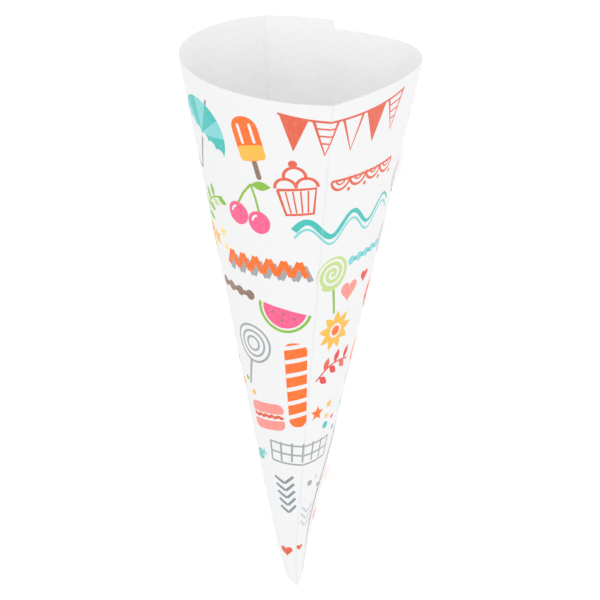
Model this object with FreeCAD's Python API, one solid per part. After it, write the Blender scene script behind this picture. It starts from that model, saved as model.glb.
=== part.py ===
import FreeCAD, Part
import os
from math import acos, asin, copysign, cos, degrees, pi, radians, sin, sqrt, tan

# A paper cone sleeve: one cut sheet, folded flat at a front and a back crease, glued down
# one side with a flap, and opened to a soft round. All straight lines of the sheet run to
# one point, the apex, just below the cut tip. It lies on its side as it comes to rest, on
# its flat back, with the tip towards -Y, the open mouth towards +Y and the front crease up.
# Millimetres.

# The sheet and its edges, measured along the paper from the apex
SHEET = 0.15            # thickness of the paper
SLANT_LENGTH = 180.0    # apex to the rim at the back crease
RIM_DROP = 1.4          # how far the rim drops over each panel, so that the two ends differ
TIP_FRONT = 7.5         # apex to the cut tip at the front crease
TIP_BACK = 11.0         # apex to the cut tip at the back crease

# The flap, which laps over the right panel, with its free edge alongside the back crease
FLAP_WIDTH = 22.0
FLAP_FOOT = 3.5         # its width at the cut tip
FLAP_CHAMFER = 31.0     # degrees between the cut at its foot and the back crease

# The opened right panel, from the back crease: a flat that the cone lies on, a tight bend, a
# soft corner and the side up to the front crease. Widths and radii are taken at the rim. The
# left panel is one round stretch, as wide as the right one, as the sheet was folded flat.
FLAT_WIDTH = 40.8
BEND_RADIUS = 12.0
BEND_TURN = 43.9        # degrees
CORNER_RADIUS = 32.6
CORNER_TURN = 38.8      # degrees
SIDE_RADIUS = 63.0
SIDE_TURN = 43.2        # degrees
BACK_CREASE_TURN = 6.7  # degrees that the back crease lies turned from straight ahead

# Working limits, which shape nothing
NEAR_APEX = 2.0         # where the faces start, below every cut of the tip
BEYOND_RIM = 20.0       # how far they run on past the rim before it is cut
FENCE_STEPS = 60        # points along the flap's free edge
FENCE_REACH = 0.88      # share of the panel that the edge may cross, down beyond the cut tip
TURN_CLOSENESS = 1e-9   # radians, where the search for the left panel's turn stops

APEX = FreeCAD.Vector(0, 0, 0)


def turned(vector, axis, angle):
    """The vector turned about an axis through the apex, by radians."""
    return FreeCAD.Rotation(axis, degrees(angle)).multVec(vector)


class Stretch:
    """Part of a panel that is flat or a piece of a round cone, all from the apex.

    ray is its first straight line and heading the way that it runs on round the cone."""

    def __init__(self, ray, heading, half_angle, turn):
        self.ray = ray
        self.normal = ray.cross(heading)
        self.axis = self.normal * sin(half_angle) - ray * cos(half_angle)
        self.turn = turn
        self.width = turn * sin(half_angle)
        self.end_ray = turned(ray, self.axis, turn)
        self.end_heading = turned(heading, self.axis, turn)
        self.end_normal = self.end_ray.cross(self.end_heading)

    def wall(self, low, high):
        """Solid of this stretch between two heights off its inner face."""
        return wall_section(self.ray, self.normal, low, high).revolve(APEX, self.axis, degrees(self.turn))

    def facing(self, angle):
        """Ray and outward normal at a flat angle from its start."""
        turn = self.turn * angle / self.width
        return turned(self.ray, self.axis, turn), turned(self.normal, self.axis, turn)


def wall_section(ray, normal, low, high):
    """Cut through the sheet along a ray, between two heights."""
    near, far = ray * NEAR_APEX, ray * (SLANT_LENGTH + BEYOND_RIM)
    corners = [near + normal * low, far + normal * low, far + normal * high, near + normal * high]
    return Part.Face(Part.makePolygon(corners + corners[:1]))


def right_panel():
    """The flat, the bend, the corner and the side, from the back crease to the front one."""
    yaw = radians(BACK_CREASE_TURN)
    panel = [Stretch(
        FreeCAD.Vector(-sin(yaw), cos(yaw), 0), FreeCAD.Vector(cos(yaw), sin(yaw), 0),
        pi / 2, FLAT_WIDTH / SLANT_LENGTH)]
    rounds = (BEND_RADIUS, BEND_TURN), (CORNER_RADIUS, CORNER_TURN), (SIDE_RADIUS, SIDE_TURN)
    for radius, turn in rounds:
        last = panel[-1]
        half_angle = asin(radius / SLANT_LENGTH)
        panel.append(Stretch(last.end_ray, last.end_heading, half_angle, radians(turn)))
    return panel


def left_panel(front, back, width):
    """One round stretch of a given width from the front crease ray to the back crease ray."""
    apart = acos(front.dot(back))
    low, high = 0.01, 2 * pi - 0.01
    while high - low > TURN_CLOSENESS:
        turn = (low + high) / 2
        if turn * sin(apart / 2) / sin(turn / 2) < width:
            low = turn
        else:
            high = turn
    half_angle = asin(sin(apart / 2) / sin(turn / 2))
    middle = (front + back).normalize()
    lean = copysign(acos(cos(half_angle) / cos(apart / 2)), turn - pi)
    centre = middle * cos(lean) + middle.cross(back - front).normalize() * sin(lean)
    heading = front.cross(centre).normalize()
    return Stretch(front, heading, half_angle, turn)


RIGHT = right_panel()
WIDTH = sum(stretch.width for stretch in RIGHT)
BACK = RIGHT[0].ray
FRONT = RIGHT[-1].end_ray
LEFT = left_panel(FRONT, BACK, WIDTH)


def facing(angle):
    """Ray and outward normal of the right panel, at a flat angle from the back crease."""
    for stretch in RIGHT:
        if angle <= stretch.width or stretch is RIGHT[-1]:
            return stretch.facing(angle)
        angle -= stretch.width


def fold(ray, normal, other, low, high):
    """The bent sheet at a crease, from one panel's normal round to the other's."""
    axis = normal.cross(other).normalize()
    angle = degrees(acos(normal.dot(other)))
    return wall_section(ray, normal, low, high).revolve(APEX, axis, angle)


def flap_edge(r):
    """Flat angle of the flap's free edge from the back crease, its two cuts run together."""
    cut = FLAP_FOOT + max(0.0, r - TIP_BACK) * tan(radians(FLAP_CHAMFER))
    width = (cut ** -4 + FLAP_WIDTH ** -4) ** -0.25
    return min(asin(min(1.0, width / r)), FENCE_REACH * WIDTH)


def flap_fence():
    """Face that stands on the sheet all along the flap's free edge."""
    lines = [[], []]
    first, last = NEAR_APEX / 2, SLANT_LENGTH + 1.2 * BEYOND_RIM
    for i in range(FENCE_STEPS):
        r = first + (last - first) * (i / (FENCE_STEPS - 1)) ** 2
        ray, normal = facing(flap_edge(r))
        for line, height in zip(lines, (0.0, 3 * SHEET)):
            line.append(ray * r + normal * height)
    edges = []
    for line in lines:
        curve = Part.BSplineCurve()
        curve.interpolate(line)
        edges.append(curve.toShape())
    return Part.makeRuledSurface(*edges)


def joined(pieces):
    """Pieces fused into one shape."""
    return pieces[0].fuse(pieces[1:])


def flap():
    """The part of the outer layer between the back crease and the flap's free edge."""
    layer = joined([stretch.wall(SHEET, 2 * SHEET) for stretch in RIGHT])
    halves = layer.generalFuse([flap_fence()])[0].Solids
    crease = Part.Vertex(BACK * SLANT_LENGTH + RIGHT[0].normal * 1.5 * SHEET)
    return min(halves, key=lambda half: half.distToShape(crease)[0])


def reach(centre, radius, ray):
    """Distance from the apex to a ball's far side along a ray."""
    along = ray.dot(centre)
    return along + sqrt(radius ** 2 - centre.dot(centre) + along ** 2)


def rim_ball(high_ray, low_ray, high):
    """Centre and radius of a ball that trims a panel's rim, lower by RIM_DROP at its low ray."""
    between = high_ray - low_ray
    centre = between * (RIM_DROP / between.dot(between))
    return centre, (high_ray * high - centre).Length


def beyond_tip():
    """Block that takes off the end of the cone, slanted from the front to the back crease."""
    front, back = FRONT * TIP_FRONT, BACK * TIP_BACK
    up = (back - front).normalize() * SLANT_LENGTH / 4
    side = front.cross(back).normalize() * SLANT_LENGTH / 4
    middle = (front + back) / 2
    corners = [middle + up + side, middle + up - side, middle - up - side, middle - up + side]
    outward = up.cross(side).normalize() * SLANT_LENGTH / 4
    if outward.dot(middle) > 0:
        outward = outward * -1
    return Part.Face(Part.makePolygon(corners + corners[:1])).extrude(outward)


def paper_cone():
    """The whole folded and glued sheet as one solid, on the ground under its own middle.

    The left panel starts inside at the front crease and ends outside at the back one, so
    it runs half a sheet further out than the right panel does."""
    outer_centre, outer_radius = rim_ball(BACK, FRONT, SLANT_LENGTH)
    front_height = reach(outer_centre, outer_radius, FRONT)
    inner_centre, inner_radius = rim_ball(FRONT, BACK, front_height)
    back_normal, front_normal = RIGHT[0].normal, RIGHT[-1].end_normal
    inner = [stretch.wall(0, SHEET) for stretch in RIGHT]
    inner.append(fold(BACK, back_normal, LEFT.end_normal, 0, SHEET))
    outer = [
        flap(),
        LEFT.wall(SHEET / 2, SHEET * 3 / 2),
        fold(BACK, back_normal, LEFT.end_normal, SHEET, 2 * SHEET),
        fold(FRONT, front_normal, LEFT.normal, 0, SHEET * 3 / 2),
    ]
    inner_sheet = joined(inner).common(Part.makeSphere(inner_radius, inner_centre))
    outer_sheet = joined(outer).common(Part.makeSphere(outer_radius, outer_centre))
    cone = inner_sheet.fuse(outer_sheet).cut(beyond_tip()).removeSplitter()
    box = cone.optimalBoundingBox(False, False)
    cone.translate(FreeCAD.Vector(-box.Center.x, -box.Center.y, -box.ZMin))
    return cone


cone = paper_cone()
os.makedirs("parts", exist_ok=True)
cone.exportStep("parts/paper_cone.step")
print("panel width", degrees(WIDTH), "degrees, left panel turns", degrees(LEFT.turn))
print("solids", len(cone.Solids), "valid", cone.isValid(), "volume", cone.Volume)
print("box", cone.optimalBoundingBox(False, False))
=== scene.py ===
# %% [markdown]
# A paper cone sleeve, the kind that an ice-cream seller pulls over a wafer cone. The real one
# is a single sheet: printed flat, cut, folded at two creases, glued down one side and opened
# with a squeeze. It could be modelled as a bent cone with a picture on it, but the folds, the
# lap and the print all come from the flat sheet. So this file works in the order of the real
# one: draw the print, cut the blank, roll it with Geometry Nodes, finish the paper, light it.

# %% Load the frame
import math
import random

import bpy
from mathutils import Matrix, Vector, geometry


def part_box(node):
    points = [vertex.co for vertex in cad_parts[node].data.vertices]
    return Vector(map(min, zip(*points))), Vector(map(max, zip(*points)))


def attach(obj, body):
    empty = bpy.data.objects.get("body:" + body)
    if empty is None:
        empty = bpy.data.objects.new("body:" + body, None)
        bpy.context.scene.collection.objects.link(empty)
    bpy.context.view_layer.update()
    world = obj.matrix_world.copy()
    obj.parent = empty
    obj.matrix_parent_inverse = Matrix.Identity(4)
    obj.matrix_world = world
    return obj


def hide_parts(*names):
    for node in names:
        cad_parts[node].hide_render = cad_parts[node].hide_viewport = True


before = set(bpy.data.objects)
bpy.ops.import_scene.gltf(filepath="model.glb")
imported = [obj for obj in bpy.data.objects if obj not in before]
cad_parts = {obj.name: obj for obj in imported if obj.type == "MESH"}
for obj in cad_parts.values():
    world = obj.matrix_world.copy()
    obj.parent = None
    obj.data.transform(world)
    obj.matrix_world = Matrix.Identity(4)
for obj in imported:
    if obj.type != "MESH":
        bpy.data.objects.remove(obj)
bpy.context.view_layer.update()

# %% [markdown]
# Every straight line of a cone runs to one point, the apex. That makes the flat blank simple:
# a place on it is a distance from the apex and an angle from the front crease. Most sizes here
# are those of the CAD part, in metres, so the rolled sheet lands where the CAD solid is. The
# dip of the rim, the point of the tip and the air in the lap are small extras of this sheet.

# %% Sizes of the sheet
MM = 0.001
SHEET = 0.15 * MM
SLANT = 180.0 * MM
RIM_DROP = 1.4 * MM
TIP_FRONT = 7.5 * MM
TIP_BACK = 11.0 * MM
FLAP_WIDTH = 22.0 * MM
FLAP_FOOT = 3.5 * MM
FLAP_CHAMFER = math.radians(31.0)
FLAT_WIDTH = 40.8 * MM
BEND_RADIUS = 12.0 * MM
BEND_TURN = math.radians(43.9)
CORNER_RADIUS = 32.6 * MM
CORNER_TURN = math.radians(38.8)
SIDE_RADIUS = 63.0 * MM
SIDE_TURN = math.radians(43.2)
BACK_CREASE_TURN = math.radians(6.7)

FRONT_DIP = 1.0 * MM                    # how much lower the rim is at the front crease
TIP_POINT = 1.8 * MM                    # height of the blunt point that the tip is cut to
TIP_POINT_SPREAD = math.radians(17)     # angle of the blank from the point to its shoulders
TIP_SHORT = 0.1                         # share of that height that the whole cut lies higher
LAP_GAP = 0.03 * MM                     # air between the flap and the panel under it

# %% [markdown]
# The opened cone isn't quite round. Its right panel is a flat that it lies on, a tight bend, a
# soft corner and a side; its left panel is one round stretch. Each stretch is a piece of a
# plane or of a true cone from the apex, so a point of the sheet reaches its place by one turn
# about one axis. A Simple Deform bend would stretch the paper, and this never does. The class
# keeps the first line of a stretch and that axis. The left panel's turn is found by halving,
# because only its two ends and its width are known.

# %% The stretches of the cone
TURN_CLOSENESS = 1e-7
TURN_START = 0.01


class Stretch:
    def __init__(self, ray, heading, half_angle, turn):
        self.ray = ray
        self.normal = ray.cross(heading)
        self.axis = self.normal * math.sin(half_angle) - ray * math.cos(half_angle)
        self.turn_per_width = 1 / math.sin(half_angle)
        self.width = turn * math.sin(half_angle)
        whole = Matrix.Rotation(turn, 3, self.axis)
        self.end_ray = whole @ ray
        self.end_heading = whole @ heading

    def place(self, along, distance, lift):
        turn = Matrix.Rotation(along * self.turn_per_width, 3, self.axis)
        return turn @ (self.ray * distance + self.normal * lift)


def right_panel():
    back = Vector((-math.sin(BACK_CREASE_TURN), math.cos(BACK_CREASE_TURN), 0))
    across = Vector((math.cos(BACK_CREASE_TURN), math.sin(BACK_CREASE_TURN), 0))
    panel = [Stretch(back, across, math.pi / 2, FLAT_WIDTH / SLANT)]
    rounds = (BEND_RADIUS, BEND_TURN), (CORNER_RADIUS, CORNER_TURN), (SIDE_RADIUS, SIDE_TURN)
    for radius, turn in rounds:
        last = panel[-1]
        panel.append(Stretch(last.end_ray, last.end_heading, math.asin(radius / SLANT), turn))
    return panel


def left_panel(front, back, width):
    apart = front.angle(back)
    low, high = TURN_START, math.pi
    while high - low > TURN_CLOSENESS:
        turn = (low + high) / 2
        if turn * math.sin(apart / 2) / math.sin(turn / 2) < width:
            low = turn
        else:
            high = turn
    half_angle = math.asin(math.sin(apart / 2) / math.sin(turn / 2))
    lean = math.acos(math.cos(half_angle) / math.cos(apart / 2))
    middle = (front + back).normalized()
    bulge = middle.cross(back - front).normalized()
    centre = middle * math.cos(lean) - bulge * math.sin(lean)
    return Stretch(front, front.cross(centre).normalized(), half_angle, turn)


RIGHT = right_panel()
PANEL = sum(stretch.width for stretch in RIGHT)
FRONT_RAY = RIGHT[-1].end_ray
BACK_RAY = RIGHT[0].ray
LEFT = left_panel(FRONT_RAY, BACK_RAY, PANEL)
print("Each panel is", round(math.degrees(PANEL), 2), "degrees of the flat sheet")

# %% [markdown]
# The blank needs an outline. Its rim and its cut tip are found along the straight lines of
# the rolled sheet: a ball trims the rim of each panel, a little lower at one end, and a
# slanted plane cuts the tip. The flap's free edge runs beside the back crease and then
# slopes back to the tip. These three rules give every place of the outline, which is closer
# to a die-cut sheet than cutting the finished cone with booleans.

# %% Where the straight lines lie
def stretch_at(angle):
    """The stretch that holds an angle of the blank, and how far along it that is."""
    if -PANEL <= angle <= 0:
        return LEFT, -angle
    along = PANEL - angle if angle > 0 else -angle - PANEL
    for stretch in RIGHT[:-1]:
        if along <= stretch.width:
            return stretch, along
        along -= stretch.width
    return RIGHT[-1], along


def ray_at(angle):
    stretch, along = stretch_at(angle)
    return stretch.place(along, 1, 0)


# %% Edges of the blank
def rim_ball(high_ray, low_ray, high):
    """Centre and radius of the ball that trims a panel's rim, lower at its low ray."""
    between = high_ray - low_ray
    centre = between * (RIM_DROP / between.length_squared)
    return centre, (high_ray * high - centre).length


def reach(ball, ray):
    """Distance from the apex to the far side of a ball along a ray."""
    centre, radius = ball
    along = ray.dot(centre)
    return along + math.sqrt(radius ** 2 - centre.length_squared + along ** 2)


OUTER_BALL = rim_ball(BACK_RAY, FRONT_RAY, SLANT)
INNER_BALL = rim_ball(FRONT_RAY, BACK_RAY, reach(OUTER_BALL, FRONT_RAY))
TIP_CUT = (BACK_RAY * TIP_BACK - FRONT_RAY * TIP_FRONT).cross(FRONT_RAY.cross(BACK_RAY))


def rim_distance(angle):
    """The rim of the real one dips a little more at the front crease than the balls trim it."""
    trimmed = reach(INNER_BALL if angle > 0 else OUTER_BALL, ray_at(angle))
    return trimmed - FRONT_DIP * max(0, 1 - abs(angle) / PANEL)


def tip_distance(angle):
    """The cut comes to a blunt point at the front crease."""
    slanted = TIP_CUT.dot(FRONT_RAY * TIP_FRONT) / TIP_CUT.dot(ray_at(angle))
    return slanted + TIP_POINT * (min(1, abs(angle) / TIP_POINT_SPREAD) + TIP_SHORT)


def flap_angle(distance):
    """Angle between the back crease and the flap's free edge, its two cuts run together."""
    slope = FLAP_FOOT + max(0, distance - TIP_BACK) * math.tan(FLAP_CHAMFER)
    width = (slope ** -4 + FLAP_WIDTH ** -4) ** -0.25
    return math.asin(min(1, width / distance))


def spread(start, end, steps):
    return [start + (end - start) * i / steps for i in range(steps + 1)]


def flat(angle, distance):
    """A place on the flat blank in millimetres."""
    return Vector((math.sin(angle), math.cos(angle))) * (distance / MM)


PANEL_STEPS = 110
FLAP_RIM_STEPS = 20
FLAP_TIP_STEPS = 8

flap_rim = -PANEL - flap_angle(SLANT)
flap_tip = -PANEL - flap_angle(TIP_BACK)
panel_angles = spread(-PANEL, 0, PANEL_STEPS)[:-1] + spread(0, PANEL, PANEL_STEPS)
rim_angles = spread(flap_rim, -PANEL, FLAP_RIM_STEPS)[:-1] + panel_angles
tip_angles = spread(flap_tip, -PANEL, FLAP_TIP_STEPS)[:-1] + panel_angles
flap_distances = spread(rim_distance(flap_rim), tip_distance(flap_tip), PANEL_STEPS)[1:-1]
outline = [flat(angle, tip_distance(angle)) for angle in tip_angles]
outline += [flat(angle, rim_distance(angle)) for angle in reversed(rim_angles)]
outline += [flat(-PANEL - flap_angle(distance), distance) for distance in flap_distances]
print("Outline of the blank:", len(outline), "points")

# %% [markdown]
# The print is simple line art in flat inks. An image texture would be the usual way, but it
# blurs close up and has to be drawn elsewhere. Here every drawing is a list of shapes in
# millimetres that are cut into the mesh itself, so its edges stay as sharp as offset ink. It
# shows generic treats and patterns, and no words.

# %% Inks
def ink(red, green, blue):
    """A colour as it is named on screen, turned into the linear numbers that a shader takes."""
    return tuple(((value / 255 + 0.055) / 1.055) ** 2.4 for value in (red, green, blue))


INKS = {
    "coral": ink(228, 98, 70), "red": ink(226, 58, 48), "orange": ink(248, 112, 24),
    "amber": ink(245, 188, 66), "lemon": ink(250, 222, 120), "teal": ink(62, 192, 184),
    "aqua": ink(128, 212, 214), "lime": ink(136, 190, 60), "pale lime": ink(196, 218, 140),
    "pink": ink(245, 94, 142), "salmon": ink(246, 150, 140), "brown": ink(142, 114, 100),
    "slate": ink(136, 146, 154), "grey": ink(158, 164, 168), "pale grey": ink(206, 209, 212),
}

# %% [markdown]
# Every drawing is a list of shapes, each an ink and a ring of points. The small functions
# below make closed rings: discs, slices, rounded blocks, stars, hearts and leaves.

# %% Closed shapes
def around(x, y, wide, high, start=0, end=360, steps=24):
    turns = [math.radians(start + (end - start) * i / steps) for i in range(steps + 1)]
    return [(x + wide * math.cos(t), y + high * math.sin(t)) for t in turns]


def disc(x, y, wide, high=None, steps=24):
    return [around(x, y, wide, high or wide, steps=steps)[:-1]]


def slice_of(x, y, radius, start, end):
    return [[(x, y)] + around(x, y, radius, radius, start, end, 14)]


def block(x, y, width, height, corner=0.3):
    ring = []
    for right, up, start in ((1, 1, 0), (-1, 1, 90), (-1, -1, 180), (1, -1, 270)):
        centre = x + right * (width / 2 - corner), y + up * (height / 2 - corner)
        ring += around(*centre, corner, corner, start, start + 90, 5)
    return [ring]


def star(x, y, radius, points=5, waist=0.45, turn=90):
    ring = []
    for i in range(2 * points):
        reach_out = radius if i % 2 == 0 else radius * waist
        angle = math.radians(turn + 180 * i / points)
        ring.append((x + reach_out * math.cos(angle), y + reach_out * math.sin(angle)))
    return [ring]


def heart(x, y, size):
    ring = []
    for i in range(28):
        t = math.tau * i / 28
        up = 0.81 * math.cos(t) - 0.31 * math.cos(2 * t) - 0.12 * math.cos(3 * t) - 0.06 * math.cos(4 * t)
        ring.append((x - size * math.sin(t) ** 3, y + size * up))
    return [ring]


def leaf(x, y, length, width, turn):
    c, s = math.cos(math.radians(turn)), math.sin(math.radians(turn))
    sides = [(length * t, width / 2 * math.sin(math.pi * t)) for t in spread(0, 1, 10)]
    ring = [(a, -b) for a, b in sides] + [(a, b) for a, b in sides[-2:0:-1]]
    return [[(x + a * c - b * s, y + a * s + b * c) for a, b in ring]]


# %% [markdown]
# A drawn line needs a width. It could be a curve with a bevel, but the blank is cut from flat
# rings, so a stroke becomes a chain of four-sided pieces. Their corners are sorted, because a
# ring that crosses itself would let its ink run over the whole sheet.

# %% Strokes
def ordered(corners):
    """Corners sorted round their middle, so that the ring never crosses itself."""
    x, y = (sum(corner[i] for corner in corners) / len(corners) for i in (0, 1))
    return sorted(corners, key=lambda corner: math.atan2(corner[1] - y, corner[0] - x))


def stroke(points, width, thin=1.0):
    """A line of a given width, as a chain of four-sided pieces, narrowing to a share at its end."""
    sides = []
    for i, (x, y) in enumerate(points):
        ahead, behind = points[min(i + 1, len(points) - 1)], points[max(i - 1, 0)]
        run = Vector((ahead[0] - behind[0], ahead[1] - behind[1])).normalized()
        half = width / 2 * (1 + (thin - 1) * i / (len(points) - 1))
        sides.append(((x - run.y * half, y + run.x * half), (x + run.y * half, y - run.x * half)))
    return [ordered([*a, *b]) for a, b in zip(sides, sides[1:])]


def bow(x, y, radius, start, end, width, steps=16):
    return stroke(around(x, y, radius, radius, start, end, steps), width)


def ring_of(x, y, radius, width):
    return bow(x, y, radius, 0, 360, width, 28)


def wave(width, height, swings, y=0.0, steps=60):
    return [(width * (t - 0.5), y + height / 2 * math.sin(math.tau * swings * t))
            for t in spread(0, 1, steps)]


def spiral(radius, turns, steps=70):
    return [(radius * t * math.cos(math.tau * turns * t), radius * t * math.sin(math.tau * turns * t))
            for t in spread(0.06, 1, steps)]


def in_ink(name, *rings):
    return [(name, ring) for several in rings for ring in several]


# %% [markdown]
# The motifs are built from those shapes. Later shapes cover earlier ones, and bare paper is
# drawn like an ink, so a hole or a highlight is just a paper shape on top. Sweet things come
# first. Each function takes its inks, so one drawing serves in several colours.

# %% Motifs of sweets
def ice_lolly(main, second):
    return (in_ink("brown", block(0, -9.4, 1.7, 6, 0.8)) + in_ink(main, block(0, 0, 8.4, 13.6, 3.8))
            + in_ink(second, block(0, -4.2, 8.4, 4.6, 1.2))
            + in_ink("paper", block(-1.9, 1.6, 0.9, 6, 0.4), block(1.9, 1.6, 0.9, 6, 0.4)))


def sweet(main, second):
    wings = [[(side * 3, 0), (side * 7.4, side * 3.2), (side * 6.5, 0), (side * 7.4, -side * 3.2)]
             for side in (1, -1)]
    return (in_ink(second, wings) + in_ink(main, disc(0, 0, 4))
            + in_ink("paper", bow(0, 0, 2.4, 100, 200, 0.7), bow(0, 0, 2.4, 280, 380, 0.7)))


def lollipop(main, stick):
    return (in_ink(stick, stroke([(0, -5), (0, -15)], 1.0)) + in_ink(main, disc(0, 0, 6))
            + in_ink("paper", stroke(spiral(5.6, 2.6), 0.85)))


def line_lollipop(main):
    rings = [ring_of(0, 0, radius, 0.7) for radius in (6, 4.1, 2.2)]
    return in_ink(main, stroke([(0, -6), (0, -15)], 1.0), *rings)


def doughnut(main, spots):
    bits = [leaf(3.9 * math.cos(t) - 0.6, 3.9 * math.sin(t), 1.5, 0.7, 70 * t) for t in spread(0, 5.5, 8)]
    return (in_ink("amber", disc(0, 0, 6.4)) + in_ink(main, star(0, 0, 5.9, 9, 0.9)) + in_ink(spots, *bits)
            + in_ink("paper", disc(0, 0, 1.9)))


def macaron(main, cream):
    return (in_ink(main, block(0, 2.5, 12, 4.4, 2.1), block(0, -2.5, 12, 4.4, 2.1))
            + in_ink("paper", block(0, 0, 12.4, 2.4, 0.4)) + in_ink(cream, stroke(wave(11.2, 0.5, 5), 1.1)))


def wafer(main, lines):
    rays = [stroke([(0, -9), (13 * math.cos(math.radians(t)), -9 + 13 * math.sin(math.radians(t)))], 0.45)
            for t in (72, 90, 108)]
    arcs = [bow(0, -9, radius, 55, 125, 0.45, 10) for radius in (5, 8, 11)]
    return in_ink(main, slice_of(0, -9, 14, 54, 126)) + in_ink(lines, *rays, *arcs)


def tub(main):
    """A little tub with three scoops, in thin lines."""
    side = stroke([(-5.4, 0), (-4, -8), (4, -8), (5.4, 0), (-5.4, 0)], 0.9)
    stripes = [stroke([(x, -0.6), (x * 0.78, -7.6)], 0.5) for x in (-3.2, -1.1, 1.1, 3.2)]
    scoops = [bow(-3, 0.4, 3, 0, 180, 0.9), bow(3, 0.4, 3, 0, 180, 0.9), bow(0, 3.9, 3, -20, 200, 0.9)]
    return in_ink(main, side, *stripes, *scoops, disc(0, 8, 1.2))


def candy_stick(main, length):
    made = in_ink(main, block(0, 0, 5.6, length, 2.4))
    for i in range(int(length / 4.4)):
        y = -length / 2 + 4 + 4.4 * i
        made += in_ink("paper", [[(-2.8, y - 1.6), (2.8, y), (2.8, y + 1.3), (-2.8, y - 0.3)]])
    return made


# %% [markdown]
# Fruit, leaves and a parasol give the print its curved, filled shapes.

# %% Motifs of fruit, leaves and shade
def cherries(main, green):
    left_stem = stroke([(0.6, 6.5), (-1.4, 3.4), (-3, 0)], 0.6)
    right_stem = stroke([(0.6, 6.5), (1.9, 3.2), (3, -0.6)], 0.6)
    return (in_ink(green, left_stem, right_stem, leaf(0.6, 6.5, 5, 2.4, 8))
            + in_ink(main, disc(-3, -2.6, 3), disc(3, -3.2, 3))
            + in_ink("paper", bow(-3, -2.6, 1.8, 110, 180, 0.55), bow(3, -3.2, 1.8, 110, 180, 0.55)))


def strawberry(main, green):
    ring = [(0, -6.5), (3.2, -3.2), (4.8, 0.6), (4.2, 3.2), (2.2, 4.4), (0, 3.9), (-2.2, 4.4), (-4.2, 3.2),
            (-4.8, 0.6), (-3.2, -3.2)]
    seeds = [leaf(x, y, 1.1, 0.7, 90)
             for x, y in ((-2.3, 0.6), (0, -1), (2.3, 0.6), (-1.3, -3.2), (1.3, -3.2))]
    return in_ink(main, [ring]) + in_ink("paper", *seeds) + in_ink(green, star(0, 4.6, 3.1, 6, 0.4))


def melon(main, green):
    seeds = [leaf(x, y, 1.2, 0.8, 90) for x, y in ((-3.4, -1.9), (0, -3.6), (3.4, -1.9), (0, -1.3))]
    return (in_ink(green, slice_of(0, 1, 8, 180, 360)) + in_ink("paper", slice_of(0, 1, 7.1, 180, 360))
            + in_ink(main, slice_of(0, 1, 6.5, 180, 360)) + in_ink("brown", *seeds))


def sprig(main, second, leaves, length):
    curve = [(length * (t - 0.5), 2.2 * math.sin(3.4 * t)) for t in spread(0, 1, 20)]
    made = in_ink(main, stroke(curve, 0.6))
    for i in range(leaves):
        x, y = curve[2 + i * 18 // leaves]
        side = 1 if i % 2 else -1
        made += in_ink(second if i % 3 == 1 else main, leaf(x, y, 4.6, 2.3, side * 58))
    return made


def flower(main, second, petals):
    around_it = [leaf(0, 0, 6.6, 2.7, 360 * i / petals + 12) for i in range(petals)]
    return in_ink(main, *around_it) + in_ink("paper", disc(0, 0, 2.3)) + in_ink(second, disc(0, 0, 1.6))


def parasol(main, second):
    wedges = [slice_of(0, 0, 10, 30 * i, 30 * i + 30) for i in range(6)]
    bites = [disc(10 * (i - 2.5) / 3, -0.4, 1.66, 1.3, 14) for i in range(6)]
    return (in_ink("slate", stroke([(0, 11.6), (0, -11)], 0.8), bow(-1.5, -11, 1.5, 180, 360, 0.8, 8))
            + in_ink(main, *wedges[::2]) + in_ink(second, *wedges[1::2]) + in_ink("paper", *bites))


# %% [markdown]
# The rest are bands and small fillers: flags, scallops, waves, zigzags, beads and marks. They
# stand in for the long rows of the real print.

# %% Motifs of bands and fillers
def bunting(main, width, flags, size):
    """Flags on a sagging string, filled, open and striped by turns."""
    shapes_made = []

    def string(t):
        return width * (t - 0.5), 2.4 * (2 * t - 1) ** 2

    for i in range(flags):
        (x1, y1), (x2, y2) = string((i + 0.1) / flags), string((i + 0.9) / flags)
        x, y = (x1 + x2) / 2, (y1 + y2) / 2 - size
        shapes_made += in_ink(main, stroke([(x1, y1), (x, y), (x2, y2)], 1.0))
        if i % 3 == 0:
            shapes_made += in_ink(main, [[(x1, y1), (x, y), (x2, y2)]])
        if i % 3 == 1:
            for share in (0.22, 0.44, 0.66):
                shapes_made += in_ink(main, stroke([
                    (x1 + (x - x1) * share, y1 + (y - y1) * share),
                    (x2 + (x - x2) * share, y2 + (y - y2) * share)], 0.6))
    return shapes_made + in_ink(main, stroke([string(t) for t in spread(0, 1, 30)], 0.8))


def scallops(main, width, count, size):
    step = width / count
    rows = []
    for i in range(count):
        x = step * (i + 0.5) - width / 2
        rows += bow(x, 0, step / 2, 180, 360, 0.9, 12) + bow(x, 0, step / 4, 180, 360, 0.6, 8)
        rows += disc(x + step / 2, -size, 0.7, steps=10)
    return in_ink(main, rows, stroke([(-width / 2, 0), (width / 2, 0)], 0.9))


def ribbon(main, second, width, swings, height):
    return (in_ink(second, stroke(wave(width, height, swings, -1.5), 0.7))
            + in_ink(main, stroke(wave(width, height, swings, 0.8), 2.0, 0.35)))


def zigzag(main, shadow, width, teeth, height):
    points = [(width * (i / (2 * teeth) - 0.5), height * (i % 2 - 0.5)) for i in range(2 * teeth + 1)]
    moved = [(x + 1.3, y - 1.3) for x, y in points]
    pieces = [stroke([a, b], 1.9) for a, b in zip(points, points[1:])]
    shades = [stroke([a, b], 1.9) for a, b in zip(moved, moved[1:])]
    return in_ink(shadow, *shades) + in_ink(main, *pieces)


def beads(main, second, width, count):
    """A row of beads on a thread, large and small by turns."""
    made = in_ink(second, stroke([(-width / 2, 0), (width / 2, 0)], 0.5))
    for i, x in enumerate(spread(-width / 2, width / 2, count)):
        made += in_ink(second if i % 2 else main, disc(x, 0, 0.9 if i % 2 else 1.7, steps=16))
    return made


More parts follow.
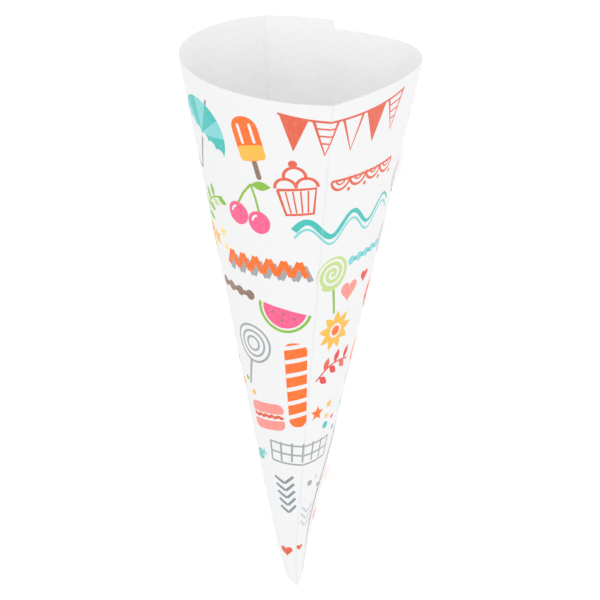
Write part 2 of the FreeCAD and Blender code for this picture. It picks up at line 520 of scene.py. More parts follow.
def waffle(main, columns, rows, cell):
    wide, high = columns * cell / 2, rows * cell / 2
    lines = [stroke([(-wide + cell * i, -high), (-wide + cell * i, high)], 0.6) for i in range(columns + 1)]
    lines += [stroke([(-wide, -high + cell * i), (wide, -high + cell * i)], 0.6) for i in range(rows + 1)]
    return in_ink(main, *lines)


def chevrons(main, count, width):
    rows = []
    for i in range(count):
        y = 3 * (i - (count - 1) / 2)
        for side in (-1, 1):
            rows += stroke([(side * width / 2, y + 1.4), (0, y - 1.4)], 1.0)
    return in_ink(main, rows)


def hearts(main, second):
    return in_ink(main, heart(-2.6, 0, 3.4)) + in_ink(second, heart(4.4, 2.2, 2.0))


def stars(main, second):
    return in_ink(main, star(-2.2, 0, 3.2)) + in_ink(second, star(3.6, 2.2, 2.0), star(3.2, -2.6, 1.5))


def dots(main, second):
    return in_ink(main, disc(-3, 0.6, 1.2), disc(2.6, -1.6, 0.9)) + in_ink(second, disc(0.2, 2.6, 0.8))


# %% [markdown]
# The layout comes in two parts. The side that faces up is set out one by one, each motif with
# its angle from the front crease, its distance from the apex, a turn and a size. The rest of
# the blank, which is mostly underneath, is filled by rows of motifs in a seeded random order.

# %% Setting a motif on the blank
SMALLEST_AREA = 1e-3
shapes = []


def put(motif, angle, distance, turn=0.0, size=1.0):
    """Sets a motif on the blank, bent so that its rows run round the cone."""
    c, s = math.cos(math.radians(turn)) * size, math.sin(math.radians(turn)) * size
    for name, ring in motif:
        places = []
        for x, y in ring:
            across, out = x * c - y * s, x * s + y * c
            places.append(flat(math.radians(angle) + across / distance, (distance + out) * MM))
        area = sum(a.cross(b) for a, b in zip(places, places[1:] + places[:1]))
        if abs(area) > SMALLEST_AREA:
            shapes.append((name, places if area > 0 else places[::-1]))


# %% The side that faces up
FACING_UP = [
    (parasol("teal", "aqua"), -16.6, 159, -24, 1.2), (ice_lolly("orange", "amber"), -9.0, 163, 14, 1.12),
    (bunting("coral", 50, 5, 11.5), 2.9, 171.5, 0, 1), (tub("coral"), -3.4, 148, 8, 1.1),
    (scallops("coral", 29, 4, 4.4), 6.2, 150.5, 0, 1),
    (sprig("lime", "pale lime", 7, 16), -17.2, 134.5, 40, 1.0),
    (cherries("pink", "lime"), -9.8, 139, -6, 1.3),
    (ribbon("teal", "aqua", 36, 2.5, 5.6), 5.0, 133.5, 3, 1.12),
    (stars("amber", "lemon"), -17.0, 124, 10, 1.0),
    (zigzag("orange", "grey", 28, 6, 5.2), -8.4, 119.5, 1, 1),
    (lollipop("pale lime", "lime"), 2.6, 117, 12, 1.0), (beads("aqua", "teal", 17, 8), 10.0, 120, 4, 0.9),
    (hearts("salmon", "red"), 8.6, 109, 0, 1.15), (beads("brown", "brown", 13, 6), -14.7, 108.5, -4, 1.0),
    (melon("pink", "lime"), -5.2, 104.5, -12, 1.05), (candy_stick("orange", 27), -2.7, 79, 3, 1.1),
    (flower("amber", "orange", 9), 5.2, 96, 0, 1.05), (line_lollipop("grey"), -12.2, 91, -18, 1.05),
    (sprig("red", "coral", 6, 15), 6.6, 82, 18, 1.0), (macaron("salmon", "coral"), -10.7, 66.5, 4, 0.97),
    (stars("orange", "amber"), 4.9, 68, 0, 0.85), (waffle("grey", 6, 2, 3.3), -0.2, 55, 0, 1.0),
    (dots("teal", "pink"), 10.2, 62, 0, 1.0), (dots("amber", "lime"), -16.4, 75, 0, 1.0),
    (sweet("teal", "aqua"), -16.4, 52, 30, 0.45), (chevrons("slate", 5, 6), -5.8, 40, 6, 0.85),
    (dots("grey", "pale grey"), 7.4, 43, 0, 0.8), (chevrons("pale grey", 3, 5), 5.0, 32, 0, 0.8),
    (hearts("coral", "coral"), -4.0, 20, 0, 0.55),
]
for drawing in FACING_UP:
    put(*drawing)

print("Print on the side that faces up:", len(shapes), "shapes")

# %% The rest of the blank
REST_SEED = 7
REST_PITCH = 18                         # millimetres from motif to motif, at full size
REST_PAST_CREASE = math.radians(25)     # how far the rows run out over the flap
LEFT_EDGE_SEEN = -20.5                  # degrees, where the side set out one by one ends
RIGHT_EDGE_SEEN = 14.5
REST = [
    parasol("coral", "salmon"), ice_lolly("pink", "salmon"), sweet("teal", "aqua"), cherries("red", "lime"),
    strawberry("red", "lime"), melon("salmon", "lime"), lollipop("orange", "grey"), doughnut("pink", "lemon"),
    macaron("pale lime", "lime"), wafer("amber", "brown"), tub("coral"), flower("teal", "amber", 8),
    hearts("pink", "salmon"), stars("orange", "amber"), line_lollipop("slate"), sprig("lime", "pale lime", 7, 15),
    beads("teal", "aqua", 15, 6), chevrons("grey", 3, 6), waffle("pale grey", 4, 2, 3),
    zigzag("coral", "pale grey", 15, 3, 4),
]
REST_ROWS = ((163, 1.0), (142, 0.95), (122, 0.9), (103, 0.85), (85, 0.75), (69, 0.65), (55, 0.55),
             (42, 0.45), (31, 0.35))
order = random.Random(REST_SEED)
spans = ((-PANEL - REST_PAST_CREASE, math.radians(LEFT_EDGE_SEEN)),
         (math.radians(RIGHT_EDGE_SEEN), PANEL))
for distance, size in REST_ROWS:
    gap = math.degrees(REST_PITCH * size / distance)
    for first, last in spans:
        angle = math.degrees(first) + gap * order.uniform(0.2, 0.6)
        while angle < math.degrees(last):
            put(order.choice(REST), angle, distance + order.uniform(-1.5, 1.5), order.uniform(-25, 25), size)
            angle += gap
print("Print:", len(shapes), "shapes")

# %% [markdown]
# Now the blank is cut. Booleans would leave long thin faces that shade badly once rolled. One
# triangulation takes everything instead: the outline, the outlines of the print, and a fan of
# straight lines from the apex, so that the sheet can bend along them. Where shapes overlap,
# the last one drawn lies on top. Ink becomes a colour of each face.

# %% Cut and print the blank
LINE_STEP = math.radians(0.36)
ROWS = spread(14, 174, 20)
FAN_PAST_CREASE = math.radians(30)
MERGE_WITHIN = 1e-4


def fan_angles():
    """Angles of the fan, with a line on each crease and on each end of a stretch."""
    stops = [-PANEL - FAN_PAST_CREASE, -PANEL, 0]
    for stretch in reversed(RIGHT):
        stops.append(stops[-1] + stretch.width)
    angles = []
    for start, end in zip(stops, stops[1:]):
        steps = max(1, round((end - start) / LINE_STEP))
        angles += spread(start, end, steps)[:-1]
    return angles + [stops[-1]]


def cut_blank():
    """The places and faces of the flat blank, each face with the last shape that covers it."""
    points, edges, faces = list(outline), [], [list(range(len(outline)))]
    for angle in fan_angles():
        line = [flat(angle, tip_distance(angle))]
        line += [flat(angle, row * MM) for row in ROWS]
        line.append(flat(angle, rim_distance(angle)))
        edges += [(len(points) + i, len(points) + i + 1) for i in range(len(line) - 1)]
        points += line
    for _, shape in shapes:
        faces.append(list(range(len(points), len(points) + len(shape))))
        points += shape
    result = geometry.delaunay_2d_cdt(points, edges, faces, 1, MERGE_WITHIN, True)
    places, cells, sources = result[0], result[2], result[5]
    kept = [(cell, max(source)) for cell, source in zip(cells, sources) if 0 in source]
    return places, kept


places, cells = cut_blank()
print("Flat blank:", len(places), "points,", len(cells), "faces")

# %% [markdown]
# The flat pattern now becomes a closed sheet: an outer skin, an inner skin and a thin edge all
# round. Each point keeps what the roll needs: its panel, its angle along that panel, its
# distance from the apex and its height. A Solidify modifier would give one even thickness, but
# here the left panel climbs by one sheet from the front crease to the back one, so that the
# flap can lap over the right panel. A narrow strip closes each skin along a crease.

# %% Build the sheet, still unrolled
def panel_of(angle):
    return "right" if angle > 0 else "left" if angle > -PANEL else "flap"


def outer_height(panel, angle):
    if panel == "right":
        return SHEET
    if panel == "left":
        return SHEET + (SHEET + LAP_GAP) * -angle / PANEL
    return 2 * SHEET + LAP_GAP


class Skin:
    """Collects the sheet's points and faces, with one copy of a point for each panel."""

    def __init__(self):
        self.index = {}
        self.rows = []
        self.faces = []
        self.inks = []
        self.parts = []

    def point(self, place, panel, outer):
        key = (place, panel, outer)
        if key not in self.index:
            x, y = places[place]
            angle, distance = math.atan2(x, y), math.hypot(x, y) * MM
            along = -angle if panel == "left" else PANEL - angle if panel == "right" else -angle - PANEL
            height = outer_height(panel, angle) - (0 if outer else SHEET)
            self.index[key] = len(self.rows)
            self.rows.append((along, distance, height, panel, (x * MM, y * MM, 0)))
        return self.index[key]

    def face(self, corners, ink, part):
        self.faces.append(corners)
        self.inks.append(ink)
        self.parts.append(part)


CREASE_CLOSENESS = 0.01


def crease_ends(place):
    """Distances in millimetres at which the crease nearest to a place starts and ends."""
    angle = math.atan2(place.x, place.y)
    snapped = 0 if abs(angle) < CREASE_CLOSENESS else -PANEL
    return tip_distance(snapped) / MM, rim_distance(snapped) / MM


def build_skin():
    """Both skins of every face, an edge along each border and a strip along each crease."""
    skin = Skin()
    borders = {}
    for cell, source in cells:
        middle = sum((places[i] for i in cell), Vector((0, 0))) / len(cell)
        panel = panel_of(math.atan2(middle.x, middle.y))
        ink = shapes[source - 1][0] if source else "paper"
        skin.face([skin.point(i, panel, True) for i in cell], ink, "outside")
        skin.face([skin.point(i, panel, False) for i in reversed(cell)], ink, "inside")
        for a, b in zip(cell, cell[1:] + cell[:1]):
            borders.setdefault(frozenset((a, b)), []).append((a, b, panel))
    for sides in borders.values():
        a, b, panel = sides[0]
        if len(sides) == 1:
            ends = [(b, panel), (a, panel)]
            skin.face([skin.point(i, p, True) for i, p in ends]
                      + [skin.point(i, p, False) for i, p in reversed(ends)], "paper", "edge")
        elif sides[1][2] != panel:
            other = sides[1][2]
            for outer, part in ((True, "outside"), (False, "inside")):
                ring = [skin.point(b, panel, outer), skin.point(a, panel, outer),
                        skin.point(a, other, outer), skin.point(b, other, outer)]
                skin.face(ring if outer else ring[::-1], "paper", part)
            for end, first, last in ((a, other, panel), (b, panel, other)):
                off = min(abs(places[end].length - limit) for limit in crease_ends(places[end]))
                if off < CREASE_CLOSENESS:
                    ring = [skin.point(end, first, True), skin.point(end, last, True),
                            skin.point(end, last, False), skin.point(end, first, False)]
                    skin.face(ring, "paper", "edge")
    return skin


skin = build_skin()
print("Sheet with both skins:", len(skin.rows), "points,", len(skin.faces), "faces")

# %% [markdown]
# Small helpers make node trees readable: one adds a node and wires it, others do one step of
# arithmetic or stretch a range of values, and the last makes a group with its sockets.

# %% Node helpers
class Nodes:
    def __init__(self, tree):
        self.tree = tree

    def add(self, kind, inputs=(), **settings):
        node = self.tree.nodes.new(kind)
        for name, value in settings.items():
            setattr(node, name, value)
        for key, value in dict(inputs).items():
            if isinstance(value, bpy.types.NodeSocket):
                self.tree.links.new(value, node.inputs[key])
            else:
                node.inputs[key].default_value = value
        return node

    def math(self, operation, *values):
        inputs = dict(enumerate(values))
        return self.add("ShaderNodeMath", inputs, operation=operation).outputs[0]

    def vector(self, operation, *values, scale=None):
        inputs = dict(enumerate(values))
        if scale is not None:
            inputs["Scale"] = scale
        return self.add("ShaderNodeVectorMath", inputs, operation=operation).outputs[0]

    def remap(self, value, from_low, from_high, to_low, to_high, **settings):
        inputs = dict(enumerate((value, from_low, from_high, to_low, to_high)))
        return self.add("ShaderNodeMapRange", inputs, **settings).outputs[0]


def group(name, kind, inputs, outputs):
    """A node group with its sockets, given as name and type, and its two end nodes."""
    tree = bpy.data.node_groups.new(name, kind)
    for label, socket in inputs:
        tree.interface.new_socket(label, in_out="INPUT", socket_type="NodeSocket" + socket)
    for label, socket in outputs:
        tree.interface.new_socket(label, in_out="OUTPUT", socket_type="NodeSocket" + socket)
    nodes = Nodes(tree)
    entry = nodes.add("NodeGroupInput").outputs
    leave = nodes.add("NodeGroupOutput").inputs
    return tree, nodes, entry, leave


# %% [markdown]
# Rolling is one rule used for each of the five stretches: stand at a distance out along the
# first line of the stretch, step off it by the height, and turn about the stretch's axis. The
# group turns the place and the outward direction alike.

# %% Geometry nodes that roll one stretch
def stretch_group():
    tree, nodes, entry, leave = group(
        "Roll one stretch", "GeometryNodeTree",
        [("Along", "Float"), ("Start", "Float"), ("Turn per width", "Float"), ("Ray", "Vector"),
         ("Normal", "Vector"), ("Axis", "Vector"), ("Distance", "Float")],
        [("Position", "Vector"), ("Outward", "Vector")])
    angle = nodes.math("MULTIPLY", nodes.math("SUBTRACT", entry["Along"], entry["Start"]),
                       entry["Turn per width"])
    out = nodes.vector("SCALE", entry["Ray"], scale=entry["Distance"])
    for label, vector in (("Position", out), ("Outward", entry["Normal"])):
        turned = nodes.add("ShaderNodeVectorRotate",
                           {"Vector": vector, "Axis": entry["Axis"], "Angle": angle})
        tree.links.new(turned.outputs[0], leave[label])
    return tree


ROLL_STRETCH = stretch_group()

# %% [markdown]
# The next group picks the right stretch for a point. Then it gives the paper some life: a
# shallow swell where it stands free of the ground, and a tip that leans a little to one side.
# Both are named inputs, so the same tree also rolls a plain sheet to measure.

# %% Geometry nodes that roll the whole sheet
GROUND_REACH = (0.5 * MM, 9 * MM)


def roll_group():
    tree, nodes, entry, leave = group(
        "Roll the sheet", "GeometryNodeTree",
        [("Along", "Float"), ("Distance", "Float"), ("Lift", "Float"), ("Left", "Float"),
         ("Swell", "Float"), ("Swell size", "Float"), ("Tip lean", "Float"), ("Lean from", "Float")],
        [("Position", "Vector")])
    starts = [sum(stretch.width for stretch in RIGHT[:count]) for count in range(len(RIGHT))]
    ends = []
    for stretch, start in list(zip(RIGHT, starts)) + [(LEFT, 0.0)]:
        node = nodes.add("GeometryNodeGroup", node_tree=ROLL_STRETCH)
        for label, value in (("Start", start), ("Turn per width", stretch.turn_per_width),
                             ("Ray", stretch.ray), ("Normal", stretch.normal), ("Axis", stretch.axis)):
            node.inputs[label].default_value = value
        tree.links.new(entry["Along"], node.inputs["Along"])
        tree.links.new(entry["Distance"], node.inputs["Distance"])
        ends.append(node.outputs)
    chosen = []
    tests = [nodes.math("GREATER_THAN", entry["Along"], start) for start in starts[1:]]
    tests.append(entry["Left"])
    for label in ("Position", "Outward"):
        value = ends[0][label]
        for test, end in zip(tests, ends[1:]):
            mix = nodes.add("ShaderNodeMix", {0: test, 4: value, 5: end[label]}, data_type="VECTOR")
            value = mix.outputs[1]
        chosen.append(value)
    position, outward = chosen
    noise = nodes.add("ShaderNodeTexNoise", {"Vector": position, "Scale": entry["Swell size"],
                                             "Detail": 1.0, "Roughness": 0.4}).outputs[0]
    height = nodes.add("ShaderNodeSeparateXYZ", {0: position}).outputs[2]
    free = nodes.remap(height, *GROUND_REACH, 0.0, 1.0, interpolation_type="SMOOTHSTEP")
    swell = nodes.math("MULTIPLY", nodes.math("SUBTRACT", noise, 0.5), entry["Swell"])
    lift = nodes.math("ADD", entry["Lift"], nodes.math("MULTIPLY", swell, free))
    short = nodes.math("MAXIMUM", nodes.math("SUBTRACT", entry["Lean from"], entry["Distance"]), 0.0)
    share = nodes.math("POWER", nodes.math("DIVIDE", short, entry["Lean from"]), 2.0)
    lean = nodes.add("ShaderNodeCombineXYZ", {0: nodes.math("MULTIPLY", share, entry["Tip lean"])})
    raised = nodes.vector("ADD", position, nodes.vector("SCALE", outward, scale=lift))
    tree.links.new(nodes.vector("ADD", raised, lean.outputs[0]), leave["Position"])
    return tree


ROLL_SHEET = roll_group()

# %% [markdown]
# The last tree drives the roll. It rolls every point three times, once in its place and once
# a hair along each way, because the cross product of those two small steps is the direction
# that the paper faces. That direction is stored, and it shades the sheet as one smooth curve.

# %% Geometry nodes that roll and shade every point
HAIR = 0.05 * MM                        # the length of those small steps


def sheet_tree(outside, inside):
    settings = [("Swell", "Float"), ("Swell size", "Float"), ("Tip lean", "Float"), ("Lean from", "Float")]
    tree, nodes, entry, leave = group(
        "Rolled sheet", "GeometryNodeTree",
        [("Geometry", "Geometry"), ("Middle", "Vector")] + settings, [("Geometry", "Geometry")])

    def read(name):
        return nodes.add("GeometryNodeInputNamedAttribute", {"Name": name}, data_type="FLOAT").outputs[0]

    def rolled(along, distance, lift):
        inputs = {"Along": along, "Distance": distance, "Lift": lift, "Left": read("left")}
        node = nodes.add("GeometryNodeGroup", node_tree=ROLL_SHEET)
        for label, socket in inputs.items():
            tree.links.new(socket, node.inputs[label])
        for label, _ in settings:
            tree.links.new(entry[label], node.inputs[label])
        return node.outputs[0]

    along, distance = read("along"), read("distance")
    here = rolled(along, distance, read("lift"))
    round_step = rolled(nodes.math("ADD", along, nodes.math("DIVIDE", HAIR, distance)),
                        distance, read("lift_round"))
    out_step = rolled(along, nodes.math("ADD", distance, HAIR), read("lift_out"))
    facing = nodes.vector("NORMALIZE", nodes.vector(
        "CROSS_PRODUCT", nodes.vector("SUBTRACT", out_step, here),
        nodes.vector("SUBTRACT", round_step, here)))
    kept = nodes.add("GeometryNodeStoreNamedAttribute",
                     {"Geometry": entry["Geometry"], "Name": "facing", "Value": facing},
                     data_type="FLOAT_VECTOR", domain="POINT").outputs[0]
    placed = nodes.add("GeometryNodeSetPosition", {
        "Geometry": kept, "Position": nodes.vector("ADD", here, entry["Middle"])}).outputs[0]
    real = nodes.add("GeometryNodeRealizeInstances", {"Geometry": placed}).outputs[0]
    printed = nodes.add("GeometryNodeSetMaterial", {"Geometry": real, "Material": outside}).outputs[0]
    bare = nodes.add("GeometryNodeSetMaterial", {
        "Geometry": printed, "Selection": nodes.math("GREATER_THAN", read("part"), 0.5),
        "Material": inside}).outputs[0]
    tree.links.new(bare, leave["Geometry"])
    return tree


print("Node groups so far:", [tree.name for tree in bpy.data.node_groups])

# %% [markdown]
# Paper is never one flat white. A shared group gives its grain: a fine tooth of fibres and a
# slow cockle for the bump, and a cloud for a tone that drifts by one to three percent. Printed
# and bare paper both use it. It reads the place on the flat blank, which is stored on the mesh
# as an attribute, so the grain bends with the sheet as real fibres do.

# %% Paper grain
def grain_group():
    tree, nodes, entry, leave = group(
        "Paper grain", "ShaderNodeTree", [("Place", "Vector")],
        [("Tooth", "Float"), ("Cockle", "Float"), ("Cloud", "Float")])
    for label, scale, detail in (("Tooth", 2600.0, 3.0), ("Cockle", 60.0, 2.0), ("Cloud", 700.0, 5.0)):
        noise = nodes.add("ShaderNodeTexNoise", {"Vector": entry["Place"], "Scale": scale, "Detail": detail})
        tree.links.new(noise.outputs[0], leave[label])
    return tree


GRAIN = grain_group()

# %% [markdown]
# The front crease gets a hair-thin darker line on both sides of the paper: painted shade of the
# fold. A second shared group finds it: on the blank it is the line where x is zero. A little
# noise breaks it up.

# %% Painted crease shade
def crease_shade_group():
    tree, nodes, entry, leave = group(
        "Crease painted shade", "ShaderNodeTree", [("Place", "Vector"), ("Half width", "Float")],
        [("Painted shade", "Float")])
    # Painted shade: the paper is darkened in a thin line along the fold.
    across = nodes.add("ShaderNodeSeparateXYZ", {0: entry["Place"]}).outputs[0]
    near = nodes.math("DIVIDE", nodes.math("ABSOLUTE", across), entry["Half width"])
    line = nodes.math("MAXIMUM", nodes.math("SUBTRACT", 1.0, near), 0.0)
    noise = nodes.add("ShaderNodeTexNoise", {"Vector": entry["Place"], "Scale": 160.0, "Detail": 2.0})
    tree.links.new(nodes.math("MULTIPLY", line, noise.outputs[0]), leave["Painted shade"])
    return tree


CREASE = crease_shade_group()

# %% [markdown]
# The outside carries the print. Its ink is read from the faces, lies a little thinner where
# the cloud is dark, and has slightly more gloss than the paper. The inside is bare, and the
# print shows through it very faintly. Its paper is painted whiter than the outside's, to make
# up for the shade inside the cone: painted light. One function makes both, so that they stay
# the same paper.

# %% Paper materials
PAPER = (0.852, 0.853, 0.855, 1)
# painted light: the inside paper is whiter than the outside's, to make up for the shade inside the cone
PAPER_INSIDE_PAINTED_LIGHTER = (0.94, 0.941, 0.942, 1)
CREASE_WIDTH = 0.55 * MM
# painted shade: how much darker the paper is along the front crease
CREASE_SHADE_DEPTH = 0.12
SHOW_THROUGH = 0.03
THINNEST_INK = 0.93
INK_GLOSS = 0.1
TOOTH_HEIGHT = 0.03


def paper_material(name, printed):
    material = bpy.data.materials.new(name)
    material.use_nodes = True
    tree = material.node_tree
    nodes = Nodes(tree)
    shader = tree.nodes["Principled BSDF"]
    place = nodes.add("ShaderNodeAttribute", attribute_name="flat_place").outputs["Vector"]
    print_here = nodes.add("ShaderNodeAttribute", attribute_name="ink").outputs
    grain = nodes.add("ShaderNodeGroup", {0: place}, node_tree=GRAIN).outputs
    crease = nodes.add("ShaderNodeGroup", {0: place, 1: CREASE_WIDTH}, node_tree=CREASE).outputs["Painted shade"]
    cover = nodes.remap(grain["Cloud"], 0.3, 0.6, THINNEST_INK, 1.0)
    strength = cover if printed else SHOW_THROUGH
    amount = nodes.math("MULTIPLY", print_here["Alpha"], strength)
    tone = nodes.remap(grain["Cloud"], 0.3, 0.7, 0.985 if printed else 0.97, 1.0)
    # Painted shade: the paper's random tone is darkened further along the front crease.
    toned_and_crease_shaded = nodes.math("SUBTRACT", tone, nodes.math("MULTIPLY", crease, CREASE_SHADE_DEPTH))
    # Painted light: the bare inside takes the whiter paper colour.
    bare = nodes.vector("SCALE", (PAPER if printed else PAPER_INSIDE_PAINTED_LIGHTER)[:3], scale=toned_and_crease_shaded)
    colour = nodes.add("ShaderNodeMix", {0: amount, 6: bare, 7: print_here["Color"]}, data_type="RGBA")
    tree.links.new(colour.outputs[2], shader.inputs["Base Color"])
    rough = nodes.remap(grain["Cloud"], 0.3, 0.7, 0.5, 0.62)
    rough = nodes.math("SUBTRACT", rough, nodes.math("MULTIPLY", amount, INK_GLOSS))
    tree.links.new(rough, shader.inputs["Roughness"])
    shader.inputs["Specular IOR Level"].default_value = 0.35
    height = nodes.math("ADD", nodes.math("MULTIPLY", grain["Tooth"], TOOTH_HEIGHT), grain["Cockle"])
    bump = nodes.add("ShaderNodeBump", {"Strength": 0.35, "Distance": 0.25 * MM, "Height": height})
    tree.links.new(bump.outputs[0], shader.inputs["Normal"])
    return material


PRINTED = paper_material("Printed paper", True)
BARE = paper_material("Bare paper", False)
print("Materials:", PRINTED.name, "and", BARE.name)

# %% [markdown]
# The glue doesn't reach the flap's free margin, which stands off by a hair near the tip. It is
# added to the height of the flap's points, so that the margin casts its own thin shadow.

# %% Looseness of the flap
LOOSE = 0.16 * MM
EDGE_REACH = 7 * MM                     # how far in from the free edge it starts
LOOSEST_AT = 36 * MM                    # distance from the apex
LOOSE_SPREAD = 18 * MM


def looseness(angle, distance):
    """How far the flap's free margin stands off, most of it near the tip."""
    inward = (angle + PANEL + flap_angle(distance)) * distance
    near = max(0.0, 1 - inward / EDGE_REACH)
    along = math.exp(-((distance - LOOSEST_AT) / LOOSE_SPREAD) ** 2)
    return LOOSE * near * near * (3 - 2 * near) * along


def lift_at(along, distance, base, panel):
    if panel != "flap":
        return base
    return base + looseness(-PANEL - along, distance)


# %% [markdown]
# The flat sheet becomes a mesh with its facts stored on it as attributes, which is how a
# script hands numbers to Geometry Nodes. The tree rolls it, and the rolled mesh is kept. A
# plain roll, with no swell and no lean, is compared with the CAD part's box, and that gives
# the place of the apex.

# %% The flat mesh and its facts
def flat_mesh():
    mesh = bpy.data.meshes.new("Flat sheet")
    mesh.from_pydata([row[4] for row in skin.rows], [], skin.faces)
    columns = {name: [] for name in ("along", "distance", "lift", "lift_round", "lift_out", "left")}
    for along, distance, base, panel, _ in skin.rows:
        columns["along"].append(along)
        columns["distance"].append(distance)
        columns["lift"].append(lift_at(along, distance, base, panel))
        columns["lift_round"].append(lift_at(along + HAIR / distance, distance, base, panel))
        columns["lift_out"].append(lift_at(along, distance + HAIR, base, panel))
        columns["left"].append(float(panel == "left"))
    for name, values in columns.items():
        mesh.attributes.new(name, "FLOAT", "POINT").data.foreach_set("value", values)
    flat_place = mesh.attributes.new("flat_place", "FLOAT_VECTOR", "POINT")
    flat_place.data.foreach_set("vector", [value for row in skin.rows for value in row[4]])
    part = mesh.attributes.new("part", "FLOAT", "FACE")
    part.data.foreach_set("value", [0.0 if name == "outside" else 1.0 for name in skin.parts])
    colours = []
    for corners, name in zip(skin.faces, skin.inks):
        colour = INKS[name] + (1.0,) if name in INKS else PAPER[:3] + (0.0,)
        colours += colour * len(corners)
    mesh.attributes.new("ink", "FLOAT_COLOR", "CORNER").data.foreach_set("color", colours)
    return mesh


# %% Roll it
SWELL = 0.5 * MM
SWELL_SIZE = 32.0                       # scale of the noise, so hollows about 30 mm apart
TIP_LEAN = 2.4 * MM
LEAN_FROM = 28 * MM                     # distance from the apex below which the tip leans


def rolled_sheet(name, middle, swell, lean):
    source = bpy.data.objects.new("Sheet to roll", flat_mesh())
    bpy.context.collection.objects.link(source)
    modifier = source.modifiers.new("Roll", "NODES")
    tree = sheet_tree(PRINTED, BARE)
    modifier.node_group = tree
    values = {"Middle": middle, "Swell": swell, "Swell size": SWELL_SIZE, "Tip lean": lean,
              "Lean from": LEAN_FROM}
    for item in tree.interface.items_tree:
        if item.in_out == "INPUT" and item.name in values:
            modifier[item.identifier] = values[item.name]
    graph = bpy.context.evaluated_depsgraph_get()
    mesh = bpy.data.meshes.new_from_object(source.evaluated_get(graph), preserve_all_data_layers=True,
                                           depsgraph=graph)
    mesh.name = name
    bpy.data.objects.remove(source)
    return mesh


def mesh_box(mesh):
    places = [vertex.co for vertex in mesh.vertices]
    return [Vector(pick(place[i] for place in places) for i in range(3)) for pick in (min, max)]


cad_low, cad_high = (Vector(corner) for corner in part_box("paper_cone"))
low, high = mesh_box(rolled_sheet("Plain roll", (0, 0, 0), 0.0, 0.0))
middle = (cad_low + cad_high - low - high) / 2
middle.z = cad_low.z - low.z
print("Plain roll against the CAD, per side in mm:",
      [round((a - b) / MM, 3) for a, b in zip(high - low, cad_high - cad_low)])

mesh = rolled_sheet("paper_sheet", middle, SWELL, TIP_LEAN)
sheet = bpy.data.objects.new("paper_sheet", mesh)
bpy.context.collection.objects.link(sheet)
print("Rolled sheet:", len(mesh.vertices), "points; apex at", [round(v / MM, 2) for v in middle])

# %% [markdown]
# Last, the stored facing becomes the shading direction of both skins: outwards on the print,
# inwards on the bare side. Smooth shading alone would pull at the thin faces beside the ink.
# The thin edge keeps its own flat facing, so it catches the light.

# %% Shade the sheet
def shade(mesh):
    facing = [Vector(value.vector) for value in mesh.attributes["facing"].data]
    normals = [None] * len(mesh.loops)
    for face, part in zip(mesh.polygons, skin.parts):
        face.use_smooth = True
        for loop in face.loop_indices:
            normal = facing[mesh.loops[loop].vertex_index]
            if part == "edge":
                normal = face.normal
            normals[loop] = -normal if part == "inside" else normal
    mesh.normals_split_custom_set(normals)


shade(mesh)
agree = sum(face.normal.dot(Vector(mesh.attributes["facing"].data[face.vertices[0]].vector)) > 0
            for face, part in zip(mesh.polygons, skin.parts) if part == "outside")
print("Outer faces that face out:", agree, "of", skin.parts.count("outside"))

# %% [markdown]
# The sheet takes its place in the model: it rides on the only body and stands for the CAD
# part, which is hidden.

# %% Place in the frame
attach(sheet, "root")
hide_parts("paper_cone")

# %% [markdown]
# The photo looks steeply down on the lying sleeve through a long lens. The bearing is turned
# from +Y towards +X, and the picture is rolled so that the tip points down. The target is
# measured from the apex, and the lens follows from the width of the picture there.

# %% Camera
VIEW_BEARING = math.radians(65.98)
VIEW_ELEVATION = math.radians(69.19)
VIEW_ROLL = math.radians(108.71)
PICTURE_WIDTH = 181.66 * MM
TARGET_RIGHT = 2.81 * MM
TARGET_UP = 92.81 * MM
CAMERA_AWAY = 7.0
CAMERA_SEES = 20.0

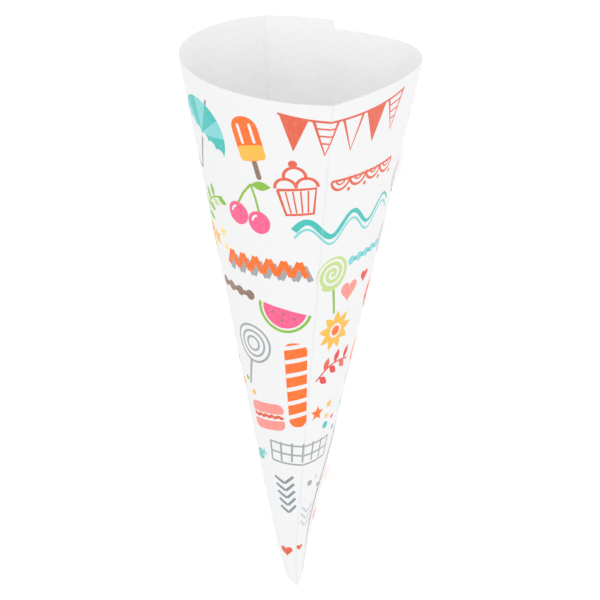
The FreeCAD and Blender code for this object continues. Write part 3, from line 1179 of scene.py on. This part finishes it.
to_camera = Vector((math.cos(VIEW_ELEVATION) * math.sin(VIEW_BEARING),
                    math.cos(VIEW_ELEVATION) * math.cos(VIEW_BEARING), math.sin(VIEW_ELEVATION)))
level = Vector((0, 0, 1)).cross(to_camera).normalized()
upright = to_camera.cross(level)
to_right = level * math.cos(VIEW_ROLL) - upright * math.sin(VIEW_ROLL)
to_top = to_camera.cross(to_right)
target = middle + to_right * TARGET_RIGHT + to_top * TARGET_UP
place = target + to_camera * CAMERA_AWAY
camera_data = bpy.data.cameras.new("Camera")
camera_data.lens = camera_data.sensor_width * CAMERA_AWAY / PICTURE_WIDTH
camera_data.clip_end = CAMERA_SEES
camera = bpy.data.objects.new("Camera", camera_data)
bpy.context.collection.objects.link(camera)
turn = Matrix((to_right, to_top, to_camera)).transposed()
camera.matrix_world = Matrix.Translation(place) @ turn.to_4x4()
bpy.context.scene.camera = camera
print("Lens in millimetres:", round(camera_data.lens))

# %% [markdown]
# A white floor under a white dome gives the pale studio of the photo. The floor glows a
# little, like a light table, so that only the sleeve's own soft shadow shows on it. One large
# soft lamp beside the camera adds a little shape.

# %% Floor
FLOOR_GLOW = 0.34
FLOOR_REACH = 6.0
corners = [(x * FLOOR_REACH, y * FLOOR_REACH, 0) for x, y in ((-1, -1), (1, -1), (1, 1), (-1, 1))]
floor_mesh = bpy.data.meshes.new("Floor")
floor_mesh.from_pydata(corners, [], [(0, 1, 2, 3)])
floor = bpy.data.objects.new("Floor", floor_mesh)
bpy.context.collection.objects.link(floor)
floor_material = bpy.data.materials.new("White floor")
floor_material.use_nodes = True
floor_shader = floor_material.node_tree.nodes["Principled BSDF"]
floor_shader.inputs["Base Color"].default_value = (0.76, 0.76, 0.76, 1)
floor_shader.inputs["Roughness"].default_value = 0.9
floor_shader.inputs["Specular IOR Level"].default_value = 0.0
floor_shader.inputs["Emission Color"].default_value = (1, 1, 1, 1)
floor_shader.inputs["Emission Strength"].default_value = FLOOR_GLOW
floor_mesh.materials.append(floor_material)

# %% Dome and lamp
DOME_STRENGTH = 0.94
KEY_WATTS = 4.6
KEY_SIZE = 1.2
KEY_AWAY = 1.6
KEY_LEFT = 0.25

world = bpy.data.worlds.new("Dome")
bpy.context.scene.world = world
world.use_nodes = True
world.node_tree.nodes["Background"].inputs["Color"].default_value = (1, 1, 1, 1)
world.node_tree.nodes["Background"].inputs["Strength"].default_value = DOME_STRENGTH
key_data = bpy.data.lights.new("Key", "AREA")
key_data.shape = "DISK"
key_data.size = KEY_SIZE
key_data.energy = KEY_WATTS
key = bpy.data.objects.new("Key", key_data)
bpy.context.collection.objects.link(key)
key.location = target + to_camera * KEY_AWAY - to_right * KEY_LEFT
key.rotation_euler = (target - key.location).to_track_quat("-Z", "Y").to_euler()
bpy.context.scene.view_settings.view_transform = "Standard"
